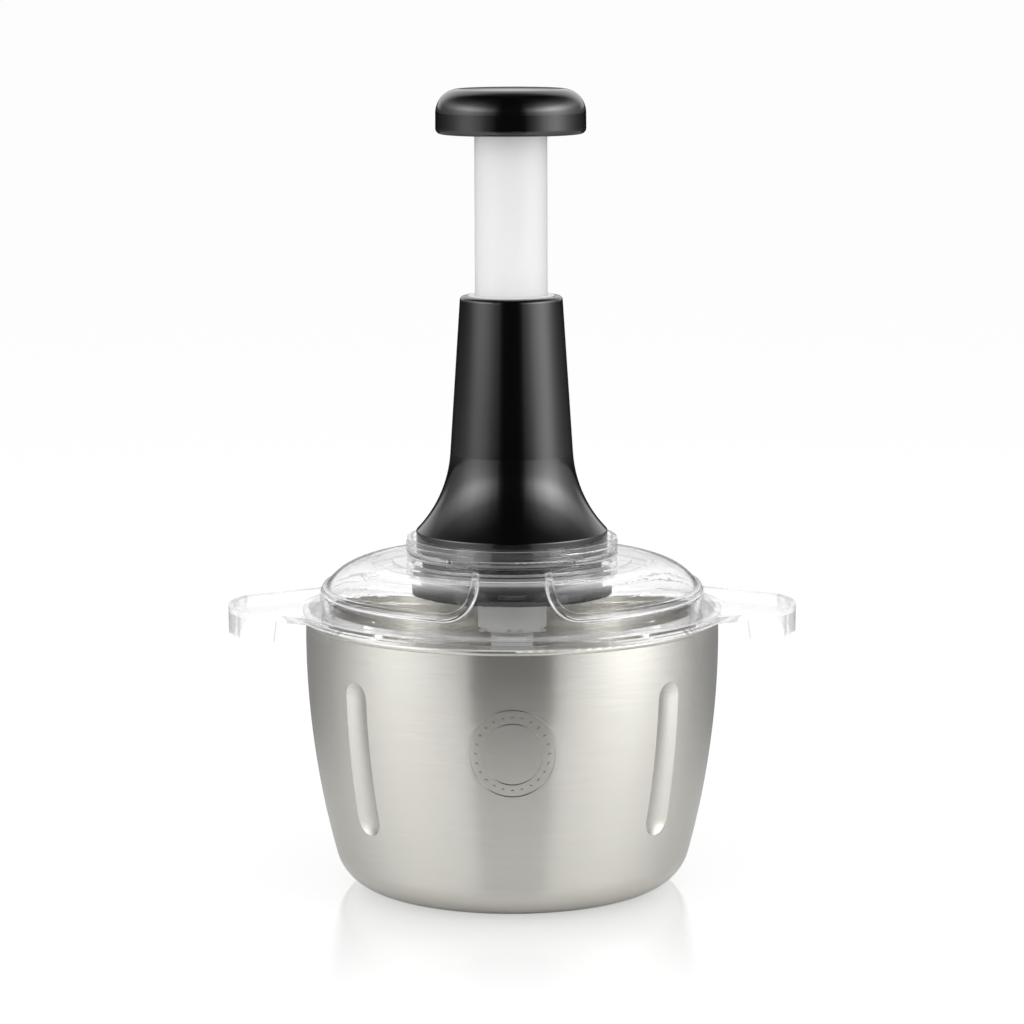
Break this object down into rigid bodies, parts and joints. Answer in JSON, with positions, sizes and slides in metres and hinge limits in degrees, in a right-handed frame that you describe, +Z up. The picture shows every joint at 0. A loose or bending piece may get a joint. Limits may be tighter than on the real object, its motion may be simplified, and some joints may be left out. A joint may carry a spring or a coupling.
{
  "type": "plunger food chopper",
  "caption": "Hand-pressed food chopper: a steel bowl with a clear lid and a sprung plunger that spins a stack of blades.",
  "frame": {"origin": "centre of the bowl's flat underside, on the surface it stands on", "axes": "+Z up along the plunger; the lid's ears point along +X and -X; the bowl's medallion faces -Y"},
  "size_m": [0.2276, 0.1744, 0.3192],
  "materials": {
    "bowl_steel": "horizontally brushed, satin",
    "blade_steel": "polished and ground at the edge",
    "spring_steel": "drawn wire",
    "fastener_steel": "zinc plated",
    "clear_lid": "clear moulded plastic",
    "black_shell": "high gloss black",
    "black_inner": "satin black",
    "white_tube": "milky, slightly translucent",
    "white_plastic": "satin white",
    "acetal": "satin natural",
    "bronze": "sintered"
  },
  "bodies": {
    "bowl": {"bowl": "bowl_steel", "pivot_pin": "fastener_steel"},
    "blades": {"blade_spindle": "white_plastic", "pivot_bush": "bronze", "blade_lower": "blade_steel", "spacer_lower": "white_plastic", "blade_middle": "blade_steel", "spacer_upper": "white_plastic", "blade_upper": "blade_steel", "blade_nut": "white_plastic"},
    "lid": {"lid": "clear_lid", "housing": "black_shell", "guide_ring": "white_plastic", "base_cap": "black_shell", "base_screws": "fastener_steel", "output_bush": "bronze", "driver_washer": "fastener_steel", "clutch_cup": "black_inner", "cup_screws": "fastener_steel", "return_spring": "spring_steel"},
    "output": {"output_driver": "acetal", "clutch_spring": "spring_steel"},
    "clutch": {"clutch_ring": "acetal"},
    "rod": {"ratchet_hub": "acetal", "spiral_rod": "fastener_steel", "rod_pin": "fastener_steel"},
    "plunger": {"plunger_tube": "white_tube", "drive_nut": "acetal", "nut_retainer": "black_inner", "retainer_screws": "fastener_steel", "knob_insert": "black_inner", "knob_bolt": "fastener_steel", "knob_cap": "black_shell"}
  },
  "joints": [
    {"name": "lid_lift", "type": "slide", "parent": "bowl", "child": "lid", "axis": [0, 0, 1], "range_m": [0, 0.06]},
    {"name": "plunger_press", "type": "slide", "parent": "lid", "child": "plunger", "axis": [0, 0, -1], "range_m": [0, 0.062], "stiffness_N_per_m": 300, "springref_m": -0.04, "deforming": ["return_spring"]},
    {"name": "rod_spin", "type": "hinge", "parent": "lid", "child": "rod", "pos_m": [0, 0, 0], "axis": [0, 0, 1], "range_deg": [0, 700]},
    {"name": "output_spin", "type": "hinge", "parent": "lid", "child": "output", "pos_m": [0, 0, 0], "axis": [0, 0, 1], "range_deg": [0, 700]},
    {"name": "clutch_slip", "type": "slide", "parent": "output", "child": "clutch", "axis": [0, 0, -1], "range_m": [0, 0.0016], "stiffness_N_per_m": 400, "springref_m": -0.002, "deforming": ["clutch_spring"]},
    {"name": "blade_spin", "type": "hinge", "parent": "bowl", "child": "blades", "pos_m": [0, 0, 0], "axis": [0, 0, 1], "range_deg": [0, 700]}
  ],
  "couplings": [
    {"joint": "rod_spin", "follows": "plunger_press", "rad_per_m": 196.35},
    {"joint": "output_spin", "follows": "plunger_press", "rad_per_m": 196.35},
    {"joint": "blade_spin", "follows": "plunger_press", "rad_per_m": 196.35}
  ]
}
